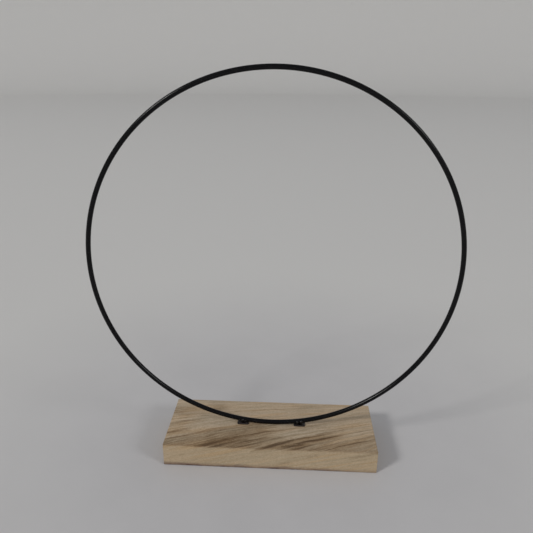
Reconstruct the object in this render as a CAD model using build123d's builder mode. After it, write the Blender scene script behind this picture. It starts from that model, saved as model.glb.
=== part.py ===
"""Wreath frame: a black wire ring standing upright on a plain wooden block.

The wire is bent into one full circle. Two small steel feet are welded under it, and a threaded stud
in each foot passes down through the block to a washer and nut, sunk in a counterbore on the underside.

Millimetres. The origin is the centre of the block's underside, +Z is up and -Y is the front.
"""

from build123d import *
import os
from math import asin, cos, degrees, radians

# Wooden block
block_length = 180.0
block_depth = 66.0
block_height = 20.8
block_edge_chamfer = 0.4

# Ring of round wire: the sizes are over its coating
ring_outer_diameter = 300.0
wire_diameter = 4.0
ring_y = 0.5

# Feet: one each side of the ring's lowest point
foot_spacing = 50.0
foot_width = 10.0
foot_depth = 5.6
foot_thickness = 1.2
foot_corner_radius = 1.2

# Weld lump that wraps the wire's lower half above each foot
weld_length = 7.0
weld_diameter = 5.5
weld_drop = 1.1

# M4 hardware
thread_diameter = 4.0
stud_length = 18.6
stud_end_chamfer = 0.5
stud_hole_diameter = 4.5
counterbore_diameter = 12.0
counterbore_depth = 8.0
washer_outer_diameter = 9.0
washer_bore_diameter = 4.3
washer_thickness = 0.8
nut_across_flats = 7.0
nut_height = 3.2
nut_corner_cut = 0.7
nut_corner_cut_height = 0.4
nut_bore_chamfer = 0.3

# Values that follow from the ones above
wire_radius = wire_diameter / 2
ring_radius = ring_outer_diameter / 2 - wire_radius
ring_centre_z = block_height + ring_outer_diameter / 2
ring_axis = Axis((0, ring_y, ring_centre_z), (0, 1, 0))
foot_x = foot_spacing / 2
foot_top_z = block_height + foot_thickness
wire_slope = asin(foot_x / ring_radius)
wire_z_at_foot = ring_centre_z - ring_radius * cos(wire_slope)
washer_bottom_z = counterbore_depth - washer_thickness
nut_bottom_z = washer_bottom_z - nut_height
side_sign = {"left": -1, "right": 1}


def save(part, name):
    """Label a finished piece and write it as one STEP file."""
    part.label = name
    export_step(part, f"parts/{name}.step")


def make_base_block():
    """Rectangular block with its edges just taken off and a counterbored stud hole under each foot."""
    underside = Plane(origin=(0, ring_y, 0), x_dir=(1, 0, 0), z_dir=(0, 0, -1))
    with BuildPart() as base_block:
        with BuildSketch():
            Rectangle(block_length, block_depth)
        extrude(amount=block_height)
        chamfer(base_block.edges(), length=block_edge_chamfer)
        with Locations(underside):
            with Locations((-foot_x, 0), (foot_x, 0)):
                CounterBoreHole(
                    radius=stud_hole_diameter / 2,
                    counter_bore_radius=counterbore_diameter / 2,
                    counter_bore_depth=counterbore_depth,
                )
    return base_block.part


def make_ring_wire():
    """One full circle of round wire, its lowest point resting on the block."""
    with BuildPart() as ring_wire:
        with BuildSketch(Plane.XY.offset(ring_centre_z)):
            with Locations((ring_radius, ring_y)):
                Circle(wire_radius)
        revolve(axis=ring_axis)
    return ring_wire.part


def make_foot_plate(x):
    """Flat plate lying on the block under the wire, with a hole for its stud."""
    with BuildPart() as foot_plate:
        with BuildSketch(Plane.XY.offset(block_height)):
            with Locations((x, ring_y)):
                RectangleRounded(foot_width, foot_depth, foot_corner_radius)
                Circle(thread_diameter / 2, mode=Mode.SUBTRACT)
        extrude(amount=foot_thickness)
    return foot_plate.part


def make_weld(x, ring_wire):
    """Spindle-shaped weld lump along the wire, cut back to the wire and to the foot's top face."""
    slope = degrees(wire_slope) * (1 if x > 0 else -1)
    lump_plane = Plane(
        origin=(x, ring_y, wire_z_at_foot - weld_drop),
        x_dir=(1, 0, 0),
        z_dir=(0, -1, 0),
    ).rotated((0, 0, slope))
    with BuildPart() as weld:
        with BuildSketch(lump_plane):
            with BuildLine():
                half_ellipse = EllipticalCenterArc(
                    center=(0, 0),
                    x_radius=weld_length / 2,
                    y_radius=weld_diameter / 2,
                    arc_size=180,
                )
                Line(half_ellipse @ 1, half_ellipse @ 0)
            make_face()
        revolve(axis=Axis(lump_plane.origin, lump_plane.x_dir))
        split(bisect_by=Plane.XY.offset(foot_top_z), keep=Keep.TOP)
        add(ring_wire, mode=Mode.SUBTRACT)
    return weld.part


def make_stud(x):
    """Threaded stud, flush with the foot's top face and reaching down past the nut."""
    with BuildPart() as stud:
        with BuildSketch(Plane.XY.offset(foot_top_z)):
            with Locations((x, ring_y)):
                Circle(thread_diameter / 2)
        extrude(amount=-stud_length)
        chamfer(stud.edges().sort_by(Axis.Z)[0], length=stud_end_chamfer)
    return stud.part


def make_washer(x):
    """Plain washer against the counterbore's ceiling."""
    with BuildPart() as washer:
        with BuildSketch(Plane.XY.offset(washer_bottom_z)):
            with Locations((x, ring_y)):
                Circle(washer_outer_diameter / 2)
                Circle(washer_bore_diameter / 2, mode=Mode.SUBTRACT)
        extrude(amount=washer_thickness)
    return washer.part


def make_nut(x):
    """Hexagon nut: a prism turned down to a cone at its corners, with a bore chamfered at both ends."""
    corner_radius = nut_across_flats / 2 / cos(radians(30))
    bore_radius = thread_diameter / 2
    section_plane = Plane(origin=(x, ring_y, nut_bottom_z), x_dir=(1, 0, 0), z_dir=(0, -1, 0))
    with BuildPart() as nut:
        with BuildSketch(Plane.XY.offset(nut_bottom_z)):
            with Locations((x, ring_y)):
                RegularPolygon(corner_radius, 6)
        extrude(amount=nut_height)
        with BuildSketch(section_plane):
            with BuildLine():
                Polyline(
                    (bore_radius + nut_bore_chamfer, 0),
                    (corner_radius - nut_corner_cut, 0),
                    (corner_radius, nut_corner_cut_height),
                    (corner_radius, nut_height - nut_corner_cut_height),
                    (corner_radius - nut_corner_cut, nut_height),
                    (bore_radius + nut_bore_chamfer, nut_height),
                    (bore_radius, nut_height - nut_bore_chamfer),
                    (bore_radius, nut_bore_chamfer),
                    close=True,
                )
            make_face()
        revolve(axis=Axis(section_plane.origin, (0, 0, 1)), mode=Mode.INTERSECT)
    return nut.part


os.makedirs("parts", exist_ok=True)
wire_part = make_ring_wire()
save(make_base_block(), "base_block")
save(wire_part, "ring_wire")
for side, sign in side_sign.items():
    save(make_foot_plate(sign * foot_x), f"foot_plate_{side}")
    save(make_weld(sign * foot_x, wire_part), f"weld_{side}")
    save(make_stud(sign * foot_x), f"stud_{side}")
    save(make_washer(sign * foot_x), f"washer_{side}")
    save(make_nut(sign * foot_x), f"nut_{side}")
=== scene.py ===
"""Looks of the wreath frame: a black wire ring on a bare wooden block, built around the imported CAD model."""

import math

import bmesh
import bpy
import numpy as np
from mathutils import Matrix, Vector, noise


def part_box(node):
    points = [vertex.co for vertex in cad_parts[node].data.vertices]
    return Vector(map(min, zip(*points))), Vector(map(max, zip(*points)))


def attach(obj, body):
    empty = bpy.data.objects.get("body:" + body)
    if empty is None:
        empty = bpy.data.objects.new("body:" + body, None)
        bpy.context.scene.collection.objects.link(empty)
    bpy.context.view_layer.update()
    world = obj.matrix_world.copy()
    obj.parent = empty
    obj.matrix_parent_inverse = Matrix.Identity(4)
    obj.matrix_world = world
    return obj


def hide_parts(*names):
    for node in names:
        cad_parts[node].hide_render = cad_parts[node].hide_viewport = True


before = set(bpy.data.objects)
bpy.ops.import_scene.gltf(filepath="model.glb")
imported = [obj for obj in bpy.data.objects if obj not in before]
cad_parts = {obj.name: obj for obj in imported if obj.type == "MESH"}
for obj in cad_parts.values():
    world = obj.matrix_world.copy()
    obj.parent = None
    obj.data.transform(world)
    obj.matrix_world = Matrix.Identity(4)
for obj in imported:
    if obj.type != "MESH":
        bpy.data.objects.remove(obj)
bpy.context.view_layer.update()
MM = 0.001
ROOT = "root"
SIDES = ("left", "right")

# Millimetres: spacing of the wood's mesh, and how deep below the top face the top's figure reaches
WOOD_STEP = 0.66
TOP_FIGURE_DEPTH = 1.6
# The ring level grows by this factor from one growth ring to the next
RING_BASE = 1.0942


# ---------------------------------------------------------------- meshes

def new_object(name, vertices, faces):
    """A smooth-shaded mesh object from vertices in metres and faces as index lists."""
    mesh = bpy.data.meshes.new(name)
    mesh.from_pydata([tuple(v) for v in vertices], [], [tuple(int(i) for i in f) for f in faces])
    mesh.update()
    mesh.polygons.foreach_set("use_smooth", [True] * len(mesh.polygons))
    obj = bpy.data.objects.new(name, mesh)
    bpy.context.scene.collection.objects.link(obj)
    return obj


def mark_sharp_edges(obj, degrees):
    """Edges that turn by more than this angle are shaded sharp, and normals are made to point outwards."""
    bm = bmesh.new()
    bm.from_mesh(obj.data)
    bmesh.ops.recalc_face_normals(bm, faces=bm.faces)
    for edge in bm.edges:
        edge.smooth = len(edge.link_faces) != 2 or edge.calc_face_angle() < math.radians(degrees)
    bm.to_mesh(obj.data)
    bm.free()


def apply_modifiers(obj):
    """Replaces the object's mesh with its evaluated mesh, so that no modifier is left on it."""
    graph = bpy.context.evaluated_depsgraph_get()
    mesh = bpy.data.meshes.new_from_object(obj.evaluated_get(graph), depsgraph=graph)
    obj.modifiers.clear()
    obj.data = mesh
    mesh.polygons.foreach_set("use_smooth", [True] * len(mesh.polygons))


def finish_piece(obj, material, nodes):
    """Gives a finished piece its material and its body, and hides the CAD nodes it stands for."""
    obj.data.materials.clear()
    obj.data.materials.append(material)
    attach(obj, ROOT)
    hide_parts(*nodes)
    return obj


def loops_to_mesh(name, loops, closed_profile=False):
    """Joins rings of equal length, each an array of points, into a closed surface.
    With a closed profile the last ring joins the first; otherwise both ends are capped by a fan."""
    count = len(loops[0])
    vertices = [p for loop in loops for p in loop]
    faces = []
    pairs = len(loops) if closed_profile else len(loops) - 1
    for j in range(pairs):
        a, b = j * count, (j + 1) % len(loops) * count
        for i in range(count):
            k = (i + 1) % count
            faces.append((a + i, a + k, b + k, b + i))
    if not closed_profile:
        for loop_index, flip in ((0, True), (len(loops) - 1, False)):
            start = loop_index * count
            centre = len(vertices)
            vertices.append(np.mean(loops[loop_index], axis=0))
            for i in range(count):
                k = (i + 1) % count
                fan = (start + k, start + i, centre) if flip else (start + i, start + k, centre)
                faces.append(fan)
    return new_object(name, vertices, faces)


# ---------------------------------------------------------------- node materials

class Graph:
    """Short names for building one node material."""

    def __init__(self, name):
        self.material = bpy.data.materials.new(name)
        self.material.use_nodes = True
        self.tree = self.material.node_tree
        self.shader = self.tree.nodes["Principled BSDF"]

    def node(self, kind, **settings):
        made = self.tree.nodes.new(kind)
        for key, value in settings.items():
            setattr(made, key, value)
        return made

    def feed(self, socket, source):
        """Links a socket to another, or sets its value."""
        if isinstance(source, bpy.types.NodeSocket):
            self.tree.links.new(source, socket)
        else:
            socket.default_value = source

    def math(self, operation, a, b=0.0, clamp=False):
        made = self.node("ShaderNodeMath", operation=operation, use_clamp=clamp)
        self.feed(made.inputs[0], a)
        self.feed(made.inputs[1], b)
        return made.outputs[0]

    def attribute(self, name):
        return self.node("ShaderNodeAttribute", attribute_name=name)

    def object_mm(self):
        """The place on the object, in millimetres."""
        coordinates = self.node("ShaderNodeTexCoord").outputs["Object"]
        return self.stretch(coordinates, (1 / MM, 1 / MM, 1 / MM))

    def stretch(self, vector, factors):
        made = self.node("ShaderNodeVectorMath", operation="MULTIPLY")
        self.feed(made.inputs[0], vector)
        self.feed(made.inputs[1], factors)
        return made.outputs[0]

    def parts(self, vector):
        """The three numbers of a vector."""
        made = self.node("ShaderNodeSeparateXYZ")
        self.feed(made.inputs[0], vector)
        return made.outputs[:]

    def noise(self, vector, scale=1.0, detail=3.0, roughness=0.55):
        made = self.node("ShaderNodeTexNoise")
        self.feed(made.inputs["Vector"], vector)
        made.inputs["Scale"].default_value = scale
        made.inputs["Detail"].default_value = detail
        made.inputs["Roughness"].default_value = roughness
        return made.outputs["Fac"]

    def remap(self, value, low, high, to_low=0.0, to_high=1.0, smooth=True):
        made = self.node("ShaderNodeMapRange", interpolation_type="SMOOTHSTEP" if smooth else "LINEAR")
        self.feed(made.inputs["Value"], value)
        for socket, number in zip(("From Min", "From Max", "To Min", "To Max"), (low, high, to_low, to_high)):
            made.inputs[socket].default_value = number
        return made.outputs["Result"]

    def ramp(self, value, stops):
        """Colour ramp with (position, (r, g, b)) stops."""
        made = self.node("ShaderNodeValToRGB")
        elements = made.color_ramp.elements
        while len(elements) < len(stops):
            elements.new(0.5)
        for element, (position, colour) in zip(elements, stops):
            element.position = position
            element.color = (*colour, 1.0)
        self.feed(made.inputs["Fac"], value)
        return made.outputs["Color"]

    def mix(self, factor, a, b, blend="MIX"):
        made = self.node("ShaderNodeMix", data_type="RGBA", blend_type=blend)
        self.feed(made.inputs[0], factor)
        for socket, source in ((made.inputs[6], a), (made.inputs[7], b)):
            self.feed(socket, source if isinstance(source, bpy.types.NodeSocket) else (*source, 1.0))
        return made.outputs[2]

    def bump(self, height, distance, strength=1.0):
        """Bump from a height between 0 and 1; distance is in metres."""
        made = self.node("ShaderNodeBump")
        made.inputs["Strength"].default_value = strength
        made.inputs["Distance"].default_value = distance
        self.feed(made.inputs["Height"], height)
        return made.outputs["Normal"]


# ---------------------------------------------------------------- wood

# Growth rings are the levels of a field that fans out along the block. At a point x, y, z in millimetres
# the level is (FAN_REACH - y) * exp(x * FAN_ALONG + depth * FAN_DOWN), depth being below the top face.
FAN_REACH = 44.5
FAN_ALONG = 0.006
FAN_DOWN = 0.023

# Dark latewood lines: ring level, half width in levels, middle and half length along x, strength, and
# how many levels the line drifts for each millimetre along x. The last four show on the front face.
DARK_LINES = (
    (54.3, 1.10, -38, 26, 0.52, 0.03),
    (54.8, 0.80, -14, 28, 0.42, 0.06),
    (55.7, 0.60, 13, 24, 0.22, -0.03),
    (56.6, 0.60, 40, 16, 0.16, -0.15),
    (50.4, 0.60, -42, 26, 0.10, 0.0),
    (58.4, 0.80, -38, 20, 0.22, 0.02),
    (62.3, 0.90, -14, 22, 0.22, 0.08),
    (66.8, 0.90, -20, 16, 0.20, 0.10),
    (75.8, 1.60, 4, 21, 0.56, -0.10),
    (75.1, 1.00, 29, 18, 0.36, 0.06),
    (82.2, 1.15, 40, 25, 0.54, 0.04),
    (82.6, 0.90, 76, 18, 0.18, 0.0),
    (83.2, 1.30, 20, 11, 0.42, 0.30),
    (88.0, 1.10, 26, 12, 0.22, 0.10),
    (72.5, 0.90, 55, 18, 0.22, -0.03),
    (68.6, 0.80, 70, 20, 0.10, 0.0),
    (103.4, 1.30, 70, 24, 0.44, 0.05),
    (107.0, 1.00, 24, 22, 0.14, 0.0),
    (133.0, 1.30, 70, 26, 0.20, 0.0),
    (28.3, 0.60, -78, 18, 0.30, -0.02),
    (35.8, 0.75, -86, 17, 0.46, 0.0),
    (41.0, 0.50, -74, 24, 0.12, 0.0),
    (33.0, 0.50, -30, 36, 0.10, 0.0),
    (23.0, 0.50, 10, 56, 0.14, 0.0),
    (18.5, 0.40, 34, 44, 0.14, 0.0),
    (27.5, 0.45, 48, 38, 0.12, 0.0),
    (78.0, 0.90, -48, 18, 0.24, 0.0),
    (111.1, 1.30, 37, 7, 0.20, 0.0),
    (118.4, 1.40, 10, 9, 0.22, 0.0),
    (136.6, 1.70, 78, 14, 0.30, 0.0),
)

# Brown bands of the top face: lowest and highest ring level, ends along x in millimetres, strength
BROWN_BANDS = (
    (40, 66, -52, 0, 0.23),
    (40, 60, -100, -48, 0.23),
    (64, 77, -34, 12, 0.20),
    (73, 99, 0, 54, 0.22),
    (95, 150, 26, 100, 0.16),
    (43, 64, -12, 26, 0.04),
    (14, 22, -100, -40, 0.10),
)


def smooth_step(value):
    """0 below 0, 1 above 1, and a smooth rise between."""
    t = np.clip(value, 0, 1)
    return t * t * (3 - 2 * t)


def wood_fields(points):
    """Wood at points in millimetres: place along the grain, ring level, place across the grain, soft
    shading, and the offset from the strongest dark line near the point with that line's strength."""
    x, y, z = points.T
    block_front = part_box("base_block")[0].y / MM
    block_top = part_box("base_block")[1].z / MM
    bend = np.array([noise.noise(Vector((p[0] * 0.013, p[1] * 0.03, p[2] * 0.03))) for p in points])
    waver = np.array([noise.noise(Vector((p[0] * 0.05 + 9, p[1] * 0.09, p[2] * 0.09))) for p in points])
    y_bent = y + 1.5 * bend + 0.9 * waver
    level = (FAN_REACH - y_bent) * np.exp(x * FAN_ALONG + (block_top - z) * FAN_DOWN)
    across = 0.75 * z - 0.65 * y
    shade = np.zeros(len(points))
    offset = np.full(len(points), 9.0)
    strength = np.zeros(len(points))
    for ring, width, middle, reach, power, drift in DARK_LINES:
        distance = (level - ring - drift * (x - middle)) / width
        window = power * np.sqrt(np.clip(1.2 - 1.2 * np.abs((x - middle) / reach), 0, 1))
        skirt = np.where(distance > 0, np.exp(-distance / 4.0), np.exp(-(distance / 1.6) ** 2))
        shade += 0.22 * window * skirt
        here = window * np.clip(2.6 - np.abs(distance), 0, 1)
        stronger = here > strength
        offset[stronger] = distance[stronger]
        strength[stronger] = here[stronger]
    near_top = np.clip((z - block_top + TOP_FIGURE_DEPTH) / 1.4, 0, 1)
    shade += 0.04 * near_top
    # The top face near its front edge, and the top of the front face, are a little darker
    shade += 0.07 * near_top * smooth_step((block_front + 4.5 - y) / 3.5)
    ragged = np.array([noise.noise(Vector((p[0] * 0.02, q * 0.45, 3.0))) for p, q in zip(points, level)])
    x_ragged = x + 16.0 * ragged
    for lowest, highest, left, right, power in BROWN_BANDS:
        band = smooth_step((level - lowest) / 2.5 + 0.5) * smooth_step((highest - level) / 5.0 + 0.5)
        ends = smooth_step((x_ragged - left) / 14.0 + 0.5) * smooth_step((right - x_ragged) / 14.0 + 0.5)
        shade += power * near_top * band * ends
    return x, level, across, shade, offset, strength


def lattice(low, high, step, edge_offsets):
    """Positions from low to high about a step apart, with extra ones close to both ends."""
    inner_low, inner_high = low + edge_offsets[-1], high - edge_offsets[-1]
    count = max(1, round((inner_high - inner_low) / step))
    middle = np.linspace(inner_low, inner_high, count + 1)
    near = [low + offset for offset in edge_offsets[:-1]]
    far = [high - offset for offset in reversed(edge_offsets[:-1])]
    return np.concatenate([near, middle, far])


def box_skin(xs, ys, zs):
    """Vertices and quads of a box's surface on a lattice of x, y and z positions."""
    index = {}
    vertices = []

    def vertex(i, j, k):
        if (i, j, k) not in index:
            index[i, j, k] = len(vertices)
            vertices.append((xs[i], ys[j], zs[k]))
        return index[i, j, k]

    nx, ny, nz = len(xs) - 1, len(ys) - 1, len(zs) - 1
    faces = []
    for i in range(nx):
        for j in range(ny):
            for k, order in ((nz, 1), (0, -1)):
                quad = [vertex(i, j, k), vertex(i + 1, j, k), vertex(i + 1, j + 1, k), vertex(i, j + 1, k)]
                faces.append(quad[::order])
    for i in range(nx):
        for k in range(nz):
            for j, order in ((0, 1), (ny, -1)):
                quad = [vertex(i, j, k), vertex(i + 1, j, k), vertex(i + 1, j, k + 1), vertex(i, j, k + 1)]
                faces.append(quad[::order])
    for j in range(ny):
        for k in range(nz):
            for i, order in ((nx, 1), (0, -1)):
                quad = [vertex(i, j, k), vertex(i, j + 1, k), vertex(i, j + 1, k + 1), vertex(i, j, k + 1)]
                faces.append(quad[::order])
    return np.array(vertices), faces


def upright_loop(centre, radius, turn, z):
    """Loop of points about a vertical axis, in metres; centre, radius and z are in millimetres."""
    x, y = centre[0] + radius * np.cos(turn), centre[1] + radius * np.sin(turn)
    return np.stack([x, y, np.full(len(turn), z)], 1) * MM


def lathe(name, profile, centre, segments=96):
    """Solid of revolution about a vertical axis, from (radius, z) points in millimetres, bottom to top."""
    turn = np.linspace(0, 2 * math.pi, segments, endpoint=False)
    return loops_to_mesh(name, [upright_loop(np.array(centre) / MM, r, turn, z) for r, z in profile])


def make_wood_block(material):
    """The block: worn edges, relief along the grain, and the two counterbored stud holes."""
    low, high = (np.array(corner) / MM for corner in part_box("base_block"))
    edge_offsets = (0.0, 0.12, 0.28, 0.5, 0.8)
    xs, ys, zs = (lattice(low[a], high[a], WOOD_STEP, edge_offsets) for a in range(3))
    points, faces = box_skin(xs, ys, zs)

    # Edges and corners rounded by a radius that wanders, with a few small knocks
    wander = np.array([noise.noise(Vector(p * 0.06)) for p in points])
    knock = np.array([noise.noise(Vector(p * 0.35 + 40.0)) for p in points])
    radius = 0.42 + 0.22 * wander + 0.9 * np.clip(knock - 0.34, 0, 1)
    radius = np.clip(radius, 0.2, 0.79)[:, None]
    core = np.clip(points, low + radius, high - radius)
    out = points - core
    length = np.linalg.norm(out, axis=1, keepdims=True)
    points = core + out * radius / np.maximum(length, 1e-9)
    block = new_object("wood_block", points * MM, faces)

    # Stud holes with their counterbores, sized by the studs and washers in them
    for side in SIDES:
        stud_low, stud_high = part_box(f"stud_{side}")
        washer_low, washer_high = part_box(f"washer_{side}")
        centre = (stud_low + stud_high) / 2
        bore = (stud_high.x - stud_low.x) / 2 / MM + 0.25
        sink = (washer_high.x - washer_low.x) / 2 / MM + 1.5
        ceiling = washer_high.z / MM
        profile = ((sink + 0.4, -1.0), (sink + 0.4, 0.0), (sink, 0.4), (sink, ceiling), (bore, ceiling))
        profile += ((bore, high[2] - 0.25), (bore + 0.25, high[2]), (bore + 0.25, high[2] + 1.0))
        cutter = lathe("cutter", profile, centre)
        cut = block.modifiers.new("hole", "BOOLEAN")
        cut.operation = "DIFFERENCE"
        cut.solver = "EXACT"
        cut.object = cutter
        apply_modifiers(block)
        bpy.data.objects.remove(cutter)

    # Relief: soft earlywood and open pores lie lower than the dark latewood
    mesh = block.data
    count = len(mesh.vertices)
    places = np.zeros(count * 3)
    mesh.vertices.foreach_get("co", places)
    places = places.reshape(-1, 3) / MM
    normals = np.zeros(count * 3)
    mesh.vertex_normals.foreach_get("vector", normals)
    normals = normals.reshape(-1, 3)
    along, level, across, shade, offset, strength = wood_fields(places)
    grooves = np.array(
        [noise.noise(Vector((a * 0.035, r * 0.75, c * 0.16))) for a, r, c in zip(along, level, across)]
    )
    outside = np.min(np.minimum(places - low, high - places), axis=1) < 0.9
    latewood = strength * np.exp(-(offset ** 2))
    relief = np.where(outside, 0.045 * grooves + 0.07 * latewood - 0.05, 0.0)
    places += normals * relief[:, None]
    mesh.vertices.foreach_set("co", (places * MM).ravel())

    # How much each point belongs to the top face and to an end face, and how near it is to the lower
    # edges, which are darker, most at the left: partly a stain, partly painted contact shade from the floor
    top = np.clip((places[:, 2] - high[2] + TOP_FIGURE_DEPTH) / 1.4, 0, 1)
    end = np.clip(np.abs(normals[:, 0]) * 2 - 1, 0, 1)
    inwards = np.min(np.minimum(places - low, high - places)[:, :2], axis=1)
    bottom_dirt_and_shade = np.clip(1 - (places[:, 2] + np.maximum(inwards - 0.5, 0)) / 5.0, 0, 1)
    bottom_dirt_and_shade *= np.clip(0.92 - places[:, 0] / 250, 0.5, 1)
    attributes = {
        "grain": np.stack([along, level, across], 1),
        "line": np.stack([offset, strength, shade], 1),
        "zones": np.stack([top, end, bottom_dirt_and_shade], 1),
    }
    for name, values in attributes.items():
        made = mesh.attributes.new(name, "FLOAT_VECTOR", "POINT")
        made.data.foreach_set("vector", values.astype(np.float32).ravel())
    mark_sharp_edges(block, 50)
    return finish_piece(block, material, ["base_block"])


def wood_material():
    """Bare, pale wood: growth rings, fibres, open pores, dark latewood lines, brown bands, and a dark band
    along the bottom edge that is partly dirt and partly painted contact shade.
    """
    g = Graph("bare_wood")
    grain = g.attribute("grain").outputs["Vector"]
    level = g.parts(grain)[1]
    offset, strength, shade = g.parts(g.attribute("line").outputs["Vector"])
    top, end, bottom_dirt_and_shade = g.parts(g.attribute("zones").outputs["Vector"])
    place = g.object_mm()

    broad = g.noise(g.stretch(grain, (0.011, 0.14, 0.03)), detail=3)
    streaks = g.noise(g.stretch(grain, (0.013, 0.7, 0.06)), detail=4, roughness=0.6)
    strands = g.noise(g.stretch(grain, (0.034, 1.7, 0.5)), detail=3, roughness=0.6)
    fibres = g.noise(g.stretch(grain, (0.06, 4.2, 1.6)), detail=3, roughness=0.65)
    pores = g.remap(g.noise(g.stretch(grain, (0.14, 2.7, 2.0)), detail=2), 0.60, 0.70)
    speckle = g.noise(place, scale=0.9, detail=3, roughness=0.7)

    # Rings lie evenly in the logarithm of the level; each darkens slowly and ends sharply
    wander = g.math("MULTIPLY", g.math("SUBTRACT", broad, 0.5), 1.6)
    rings = g.math("FRACT", g.math("ADD", g.math("LOGARITHM", level, RING_BASE), wander))
    latewood = g.math("MULTIPLY", g.remap(rings, 0.45, 0.95), g.remap(rings, 0.955, 0.995, 1.0, 0.0))
    latewood = g.math("MULTIPLY", latewood, g.remap(streaks, 0.3, 0.7, 0.3, 1.0))

    # The dark lines, frayed by the fibres
    frayed = g.math("ADD", offset, g.math("MULTIPLY", g.math("SUBTRACT", strands, 0.5), 2.8))
    line = g.math("EXPONENT", g.math("MULTIPLY", g.math("MULTIPLY", frayed, frayed), -1.0))
    line = g.math("MULTIPLY", g.math("MULTIPLY", line, strength), g.remap(streaks, 0.3, 0.7, 0.6, 1.2))
    line = g.math("MULTIPLY", line, g.remap(top, 0.0, 1.0, 0.6, 1.0, smooth=False))

    shade = g.math("MULTIPLY", shade, g.remap(streaks, 0.25, 0.75, 0.55, 1.45, smooth=False))
    # The sawn sides and ends show less figure than the top
    figure = g.math("MULTIPLY", latewood, 0.12)
    for field, weight in ((broad, 0.26), (streaks, 0.32), (strands, 0.66)):
        figure = g.math("ADD", figure, g.math("MULTIPLY", g.math("SUBTRACT", field, 0.5), weight))
    figure = g.math("MULTIPLY", figure, g.remap(top, 0.0, 1.0, 0.62, 1.0, smooth=False))
    tone = g.math("ADD", g.math("ADD", shade, line), g.math("ADD", figure, 0.215))
    for field, weight in ((fibres, 0.56), (speckle, 0.46)):
        tone = g.math("ADD", tone, g.math("MULTIPLY", g.math("SUBTRACT", field, 0.5), weight))
    tone = g.math("ADD", tone, g.math("MULTIPLY", pores, 0.14))
    tone = g.math("ADD", tone, g.math("MULTIPLY", end, 0.14), clamp=True)
    colour = g.ramp(tone, (
        (0.00, (0.692, 0.556, 0.412)),
        (0.20, (0.572, 0.452, 0.320)),
        (0.48, (0.382, 0.282, 0.180)),
        (0.75, (0.242, 0.164, 0.092)),
        (1.00, (0.135, 0.083, 0.046)),
    ))

    # Parts of the wood lean towards orange and others towards grey, and the sides towards yellow
    tint = g.noise(g.stretch(grain, (0.02, 0.16, 0.05)), detail=1)
    colour = g.mix(g.remap(tint, 0.50, 0.68), colour, (1.0, 0.94, 0.86), "MULTIPLY")
    colour = g.mix(g.remap(tint, 0.50, 0.32), colour, (0.94, 0.97, 0.99), "MULTIPLY")
    side = g.remap(top, 0.0, 1.0, 1.0, 0.0, smooth=False)
    colour = g.mix(side, colour, (0.950, 0.935, 0.875), "MULTIPLY")

    # Dark band along the bottom edge, in patches: partly dirt, partly painted contact shade where the block
    # stands
    patches = g.noise(g.stretch(place, (0.06, 0.06, 0.3)), detail=4)
    patches = g.remap(patches, 0.25, 0.75, 0.55, 1.45, smooth=False)
    dirt_and_painted_shade = g.remap(g.math("MULTIPLY", bottom_dirt_and_shade, patches), 0.22, 0.95, 0.0, 0.90, smooth=False)
    colour = g.mix(dirt_and_painted_shade, colour, (0.080, 0.034, 0.040))
    g.feed(g.shader.inputs["Base Color"], colour)

    g.feed(g.shader.inputs["Roughness"], g.remap(fibres, 0.2, 0.8, 0.62, 0.82, smooth=False))
    g.shader.inputs["Specular IOR Level"].default_value = 0.3
    ridges = g.math("MULTIPLY", g.math("ADD", fibres, strands), 0.4)
    height = g.math("SUBTRACT", ridges, g.math("MULTIPLY", pores, 0.6))
    g.feed(g.shader.inputs["Normal"], g.bump(height, 0.00010, 0.7))
    return g.material


# ---------------------------------------------------------------- coated steel

def coating_material(name, roughness, specular, dark, light):
    """Black powder coat with a faint orange peel and a little dust. Its roughness and colour cloud
    between two values each."""
    g = Graph(name)
    place = g.object_mm()
    peel = g.noise(place, scale=0.9, detail=2)
    cloud = g.noise(place, scale=0.06, detail=3)
    grit = g.remap(g.noise(place, scale=2.6, detail=1), 0.72, 0.80)
    colour = g.mix(g.remap(cloud, 0.3, 0.7), dark, light)
    colour = g.mix(g.math("MULTIPLY", grit, 0.25), colour, (0.03, 0.029, 0.027))
    g.feed(g.shader.inputs["Base Color"], colour)
    g.feed(g.shader.inputs["Roughness"], g.remap(cloud, 0.3, 0.7, *roughness))
    g.shader.inputs["Specular IOR Level"].default_value = specular
    g.feed(g.shader.inputs["Normal"], g.bump(peel, 0.00006, 0.6))
    return g.material


def make_ring(material):
    """The ring: one round wire with a coating that is very slightly uneven."""
    low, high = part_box("ring_wire")
    centre = (low + high) / 2
    wire_radius = (high.y - low.y) / 2
    ring_radius = (high.x - low.x) / 2 - wire_radius
    loops = []
    for turn in np.linspace(0, 2 * math.pi, 900, endpoint=False):
        outward = Vector((math.sin(turn), 0, -math.cos(turn)))
        loop = []
        for around in np.linspace(0, 2 * math.pi, 32, endpoint=False):
            direction = outward * math.cos(around) + Vector((0, math.sin(around), 0))
            place = centre + outward * ring_radius + direction * wire_radius
            uneven = 0.012 * MM * noise.noise(place / MM * 0.35)
            loop.append(np.array(place + direction * (uneven - 0.012 * MM)))
        loops.append(np.array(loop))
    ring = loops_to_mesh("ring", loops, closed_profile=True)
    mark_sharp_edges(ring, 60)
    return finish_piece(ring, material, ["ring_wire"])


def rounded_rectangle(half_x, half_y, corner, inset, segments=12):
    """Outline points about the origin, moved inwards by the inset."""
    half_x, half_y, corner = half_x - inset, half_y - inset, max(corner - inset, 0.05)
    points = []
    for quarter, (sign_x, sign_y) in enumerate(((1, 1), (-1, 1), (-1, -1), (1, -1))):
        for angle in np.linspace(0, math.pi / 2, segments):
            turn = angle + quarter * math.pi / 2
            points.append((
                sign_x * (half_x - corner) + corner * math.cos(turn),
                sign_y * (half_y - corner) + corner * math.sin(turn),
            ))
    return np.array(points)


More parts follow.
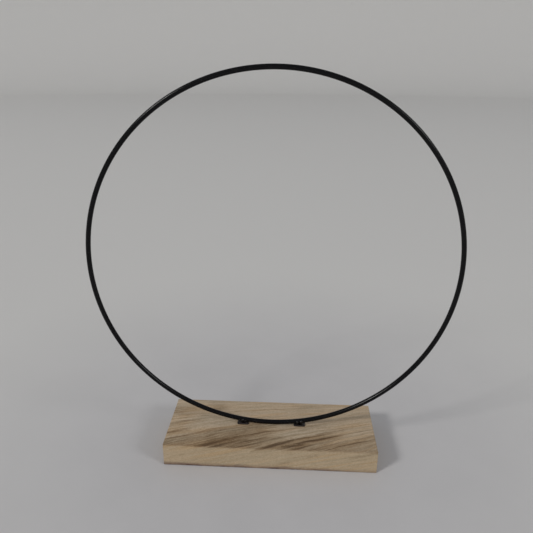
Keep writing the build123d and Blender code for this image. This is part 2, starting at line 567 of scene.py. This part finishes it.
def make_foot(side, material):
    """Foot plate with edges softened by its coating."""
    low, high = (np.array(corner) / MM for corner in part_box(f"foot_plate_{side}"))
    centre = (low + high) / 2
    half_x, half_y = (high - low)[:2] / 2
    thickness = high[2] - low[2]
    rounding = 0.45
    profile = [(0.10, 0.0), (0.02, 0.10), (0.0, 0.25), (0.0, thickness - rounding)]
    for angle in np.linspace(15, 90, 6):
        turn = math.radians(angle)
        profile.append((rounding * (1 - math.cos(turn)), thickness - rounding + rounding * math.sin(turn)))
    profile += [(0.8, thickness), (1.4, thickness), (2.0, thickness)]
    loops = []
    for inset, z in profile:
        outline = rounded_rectangle(half_x, half_y, 1.2, inset)
        wobble = np.array([0.05 * noise.noise(Vector((u * 0.9 + centre[0], v * 0.9, z))) for u, v in outline])
        outline = outline * (1 + wobble[:, None] * 0.3) + centre[:2]
        loops.append(np.column_stack([outline, np.full(len(outline), low[2] + z)]) * MM)
    foot = loops_to_mesh(f"foot_{side}", loops)
    mark_sharp_edges(foot, 60)
    return finish_piece(foot, material, [f"foot_plate_{side}"])


# Weld runs along the wire: blobs as (place along x from the foot's middle, radius), millimetres
WELD_BLOBS = {
    "left": ((-3.0, 1.15), (-0.3, 1.45), (2.2, 1.25), (4.4, 0.95)),
    "right": ((-4.2, 0.85), (-1.9, 1.45), (1.6, 1.50), (4.3, 0.90)),
}


def make_weld(side, material):
    """Lumpy weld between wire and foot: a run of overlapping blobs each side of the wire, melted together."""
    low, high = (np.array(corner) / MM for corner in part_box(f"weld_{side}"))
    ring_low, ring_high = (np.array(corner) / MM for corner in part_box("ring_wire"))
    wire_y = (ring_low[1] + ring_high[1]) / 2
    wire_radius = (ring_high[1] - ring_low[1]) / 2
    ring_radius = (ring_high[0] - ring_low[0]) / 2 - wire_radius
    ring_z = (ring_low[2] + ring_high[2]) / 2
    foot_low, foot_high = (np.array(corner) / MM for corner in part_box(f"foot_plate_{side}"))
    middle = (foot_low[0] + foot_high[0]) / 2
    bm = bmesh.new()
    for shift, radius in WELD_BLOBS[side]:
        x = middle + shift
        wire_z = ring_z - math.sqrt(ring_radius ** 2 - x ** 2)
        blobs = (
            (-1.0, -0.3, radius),
            (-0.7, -1.4, radius),
            (1.05, -0.45, radius * 0.95),
            (0.8, -1.5, radius),
        )
        for y_shift, z_shift, size in blobs:
            place = Vector((x, wire_y + y_shift, max(wire_z + z_shift, foot_high[2] + 0.5)))
            matrix = Matrix.Translation(place * MM) @ Matrix.Diagonal((1.05, 1.0, 1.0, 1.0))
            bmesh.ops.create_icosphere(bm, subdivisions=3, radius=size * MM, matrix=matrix)
    mesh = bpy.data.meshes.new(f"weld_bead_{side}")
    bm.to_mesh(mesh)
    bm.free()
    weld = bpy.data.objects.new(f"weld_bead_{side}", mesh)
    bpy.context.scene.collection.objects.link(weld)
    melt = weld.modifiers.new("melt", "REMESH")
    melt.mode = "VOXEL"
    melt.voxel_size = 0.12 * MM
    soften = weld.modifiers.new("soften", "SMOOTH")
    soften.iterations = 4
    apply_modifiers(weld)
    floor = foot_low[2] + 0.3
    for vertex in weld.data.vertices:
        place = vertex.co / MM
        ripple = 0.05 * noise.noise(place * 1.3) + 0.03 * math.sin(place.x * 7.0)
        vertex.co += vertex.normal * ripple * MM
        vertex.co.z = max(vertex.co.z, floor * MM)
    return finish_piece(weld, material, [f"weld_{side}"])


# ---------------------------------------------------------------- zinc plated hardware

PITCH = 0.7
THREAD_DEPTH = 0.4


def thread_groove(turn, z):
    """Depth of a thread's groove, in millimetres, at an angle and a height."""
    phase = (z / PITCH - turn / (2 * math.pi)) % 1.0
    return THREAD_DEPTH * np.clip((0.5 - np.abs(phase - 0.5)) * 2.6 - 0.2, 0, 1)


def make_stud(side, material):
    """Threaded stud: plain where it passes the foot, a helical thread below."""
    low, high = (np.array(corner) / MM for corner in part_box(f"stud_{side}"))
    centre = (low + high) / 2
    radius = (high[0] - low[0]) / 2
    plain_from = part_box("base_block")[1].z / MM - 0.8
    turn = np.linspace(0, 2 * math.pi, 40, endpoint=False)
    heights = np.arange(low[2], high[2], PITCH / 11)
    loops = []
    for z in [*heights, high[2]]:
        groove = thread_groove(turn, z) if z < plain_from else 0.0
        end_cone = max(0.0, 0.5 - (z - low[2]))
        r = np.minimum(radius - groove, radius - end_cone)
        loops.append(upright_loop(centre, r, turn, z))
    stud = loops_to_mesh(f"threaded_stud_{side}", loops)
    mark_sharp_edges(stud, 80)
    return finish_piece(stud, material, [f"stud_{side}"])


def make_washer(side, material):
    """Stamped washer: rounded on the punched side, with a slight burr on the other."""
    low, high = (np.array(corner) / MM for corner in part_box(f"washer_{side}"))
    centre = (low + high) / 2
    outer, thickness = (high[0] - low[0]) / 2, high[2] - low[2]
    inner = 2.15
    edge = 0.3
    profile = [(inner + 0.04, 0.0), (inner + edge, 0.0), (outer - edge, 0.0)]
    for a in np.linspace(0.2, 1.57, 7):
        profile.append((outer - edge + edge * math.sin(a), edge - edge * math.cos(a)))
    profile += [(outer, thickness - 0.08), (outer - 0.05, thickness), (outer - 0.4, thickness - 0.02)]
    profile += [(inner + edge, thickness - 0.02), (inner + 0.05, thickness)]
    profile += [(inner, thickness - 0.1), (inner, 0.08)]
    turn = np.linspace(0, 2 * math.pi, 96, endpoint=False)
    loops = [upright_loop(centre, r, turn, low[2] + z) for r, z in profile]
    washer = loops_to_mesh(f"plain_washer_{side}", loops, closed_profile=True)
    mark_sharp_edges(washer, 50)
    return finish_piece(washer, material, [f"washer_{side}"])


def make_nut(side, material):
    """Hexagon nut: flats, turned corners that leave curved edges, and a threaded bore."""
    low, high = (np.array(corner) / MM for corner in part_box(f"nut_{side}"))
    centre = (low + high) / 2
    flat_radius, height = (high[1] - low[1]) / 2, high[2] - low[2]
    bore = 1.99
    turn = np.linspace(0, 2 * math.pi, 180, endpoint=False)
    hexagon = flat_radius / np.cos((turn + math.pi / 6) % (math.pi / 3) - math.pi / 6)
    loops = []

    def add(radius, z):
        loops.append(upright_loop(centre, radius, turn, low[2] + z))

    corner_steps, flat_steps = np.linspace(0, 0.55, 9), np.linspace(0.7, height - 0.7, 6)
    for z in [*corner_steps, *flat_steps, *(height - corner_steps[::-1])]:
        from_end = min(z, height - z)
        add(np.minimum(hexagon, flat_radius - 0.1 + from_end * 1.73), z)
    add(flat_radius - 0.6, height)
    add(2.35, height)
    for z in np.linspace(height, 0, 46):
        from_end = min(z, height - z)
        countersink = max(0.0, 0.35 - from_end)
        opening = bore + countersink if countersink > 0 else 0.0
        add(np.maximum(bore - thread_groove(turn, low[2] + z) * 0.85, opening), z)
    add(2.35, 0.0)
    add(flat_radius - 0.6, 0.0)
    nut = loops_to_mesh(f"hex_nut_{side}", loops, closed_profile=True)
    mark_sharp_edges(nut, 32)
    return finish_piece(nut, material, [f"nut_{side}"])


def zinc_material():
    """Zinc plating: cool grey metal with faint clouding and fine scratches."""
    g = Graph("zinc_plate")
    place = g.object_mm()
    cloud = g.noise(place, scale=0.7, detail=4)
    scratches = g.noise(g.stretch(place, (1.2, 9.0, 3.0)), detail=2)
    colour = g.mix(g.remap(cloud, 0.3, 0.7), (0.52, 0.53, 0.55), (0.70, 0.70, 0.68))
    g.feed(g.shader.inputs["Base Color"], colour)
    g.shader.inputs["Metallic"].default_value = 1.0
    g.feed(g.shader.inputs["Roughness"], g.remap(scratches, 0.3, 0.7, 0.28, 0.45))
    g.feed(g.shader.inputs["Normal"], g.bump(scratches, 0.00003, 0.5))
    return g.material


# ---------------------------------------------------------------- floor, light and camera

def make_stage():
    """A wide pale floor that curves up into a low wall far away on every side."""
    floor_radius, cove_radius, wall_top = 6.5, 1.5, 3.0
    line = [(0.4, 0.0), (1.5, 0.0), (4.0, 0.0), (floor_radius, 0.0)]
    for angle in np.linspace(5, 90, 18):
        turn = math.radians(angle)
        line.append((floor_radius + cove_radius * math.sin(turn), cove_radius * (1 - math.cos(turn))))
    line.append((floor_radius + cove_radius, wall_top))
    segments = 128
    turns = np.linspace(0, 2 * math.pi, segments, endpoint=False)
    vertices = [(0.0, 0.0, 0.0)]
    vertices += [(r * math.cos(t), r * math.sin(t), z) for r, z in line for t in turns]
    faces = []
    for i in range(segments):
        k = (i + 1) % segments
        faces.append((0, 1 + i, 1 + k))
        for j in range(len(line) - 1):
            a, b = 1 + j * segments, 1 + (j + 1) * segments
            faces.append((a + i, b + i, b + k, a + k))
    stage = new_object("floor_and_backdrop", vertices, faces)
    g = Graph("pale_floor")
    place = g.object_mm()
    mottle = g.noise(place, scale=0.012, detail=4)
    colour = g.mix(g.remap(mottle, 0.3, 0.7), (0.600, 0.592, 0.604), (0.628, 0.620, 0.632))
    # Painted light: the floor is painted lighter from 40 to 450 mm away from the object's middle, darker near
    # the object and brighter further off
    distance = g.node("ShaderNodeVectorMath", operation="LENGTH")
    g.feed(distance.inputs[0], place)
    colour = g.mix(g.remap(distance.outputs["Value"], 40.0, 450.0), colour, (0.735, 0.728, 0.715))
    g.feed(g.shader.inputs["Base Color"], colour)
    g.shader.inputs["Roughness"].default_value = 0.6
    g.shader.inputs["Specular IOR Level"].default_value = 0.25
    stage.data.materials.append(g.material)


def ring_centre():
    """Middle of the ring, in metres."""
    low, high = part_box("ring_wire")
    return (low + high) / 2


def direction(azimuth, elevation):
    """Unit vector towards a place seen from the object; azimuth 0 is the front and 90 the right."""
    a, e = math.radians(azimuth), math.radians(elevation)
    return Vector((math.sin(a) * math.cos(e), -math.cos(a) * math.cos(e), math.sin(e)))


def make_area_light(name, azimuth, elevation, distance, size, power, colour):
    """Square soft light facing the ring's centre."""
    light = bpy.data.lights.new(name, "AREA")
    light.shape = "SQUARE"
    light.size = size
    light.energy = power
    light.color = colour
    obj = bpy.data.objects.new(name, light)
    away = direction(azimuth, elevation)
    obj.location = ring_centre() + away * distance
    obj.rotation_mode = "QUATERNION"
    obj.rotation_quaternion = away.to_track_quat("Z", "Y")
    bpy.context.scene.collection.objects.link(obj)


def make_lights():
    """A soft key light from the front left, a weaker one from the front right, and an even room."""
    make_area_light("key", -52, 34, 14.0, 2.4, 666.0, (1.0, 0.985, 0.96))
    make_area_light("fill", 60, 28, 14.0, 3.4, 333.0, (0.97, 0.98, 1.0))
    world = bpy.data.worlds.new("room")
    world.use_nodes = True
    background = world.node_tree.nodes["Background"]
    background.inputs["Color"].default_value = (0.97, 0.98, 1.0, 1.0)
    background.inputs["Strength"].default_value = 0.31
    bpy.context.scene.world = world


def make_camera():
    """Camera above the ring's centre and a little right of it, looking down towards the block."""
    azimuth, elevation, roll, distance = 2.82, 20.47, 0.37, 0.4230
    aim = ring_centre() + Vector((-0.0051, 0.0, -0.0007))
    away = direction(azimuth, elevation)
    data = bpy.data.cameras.new("camera")
    data.lens = 36.0
    data.sensor_width = 36.0
    camera = bpy.data.objects.new("camera", data)
    right = Vector((math.cos(math.radians(azimuth)), math.sin(math.radians(azimuth)), 0))
    up = away.cross(right)
    turned = Matrix.Rotation(math.radians(roll), 3, away)
    right, up = turned @ right, turned @ up
    rotation = Matrix((right, up, away)).transposed()
    camera.matrix_world = Matrix.Translation(aim + away * distance) @ rotation.to_4x4()
    bpy.context.scene.collection.objects.link(camera)
    bpy.context.scene.camera = camera


make_camera()
make_wood_block(wood_material())
coating = coating_material(
    "black_coating", (0.17, 0.25), 0.20, (0.0014, 0.0014, 0.0021), (0.0026, 0.0026, 0.0036))
weld_coating = coating_material(
    "black_coating_on_welds", (0.28, 0.38), 0.50, (0.0020, 0.0020, 0.0034), (0.0040, 0.0040, 0.0060))
# The feet's coat is lighter and browner than the ring's: partly dust on the plates, partly a painted sheen for
# their lit top faces
foot_coating_dust_and_sheen = coating_material(
    "black_coating_on_feet", (0.35, 0.50), 0.50, (0.0160, 0.0115, 0.0110), (0.0270, 0.0200, 0.0190))
zinc = zinc_material()
make_ring(coating)
for side in SIDES:
    make_foot(side, foot_coating_dust_and_sheen)
    make_weld(side, weld_coating)
    make_stud(side, zinc)
    make_washer(side, zinc)
    make_nut(side, zinc)
make_stage()
make_lights()
bpy.context.scene.view_settings.view_transform = "Standard"
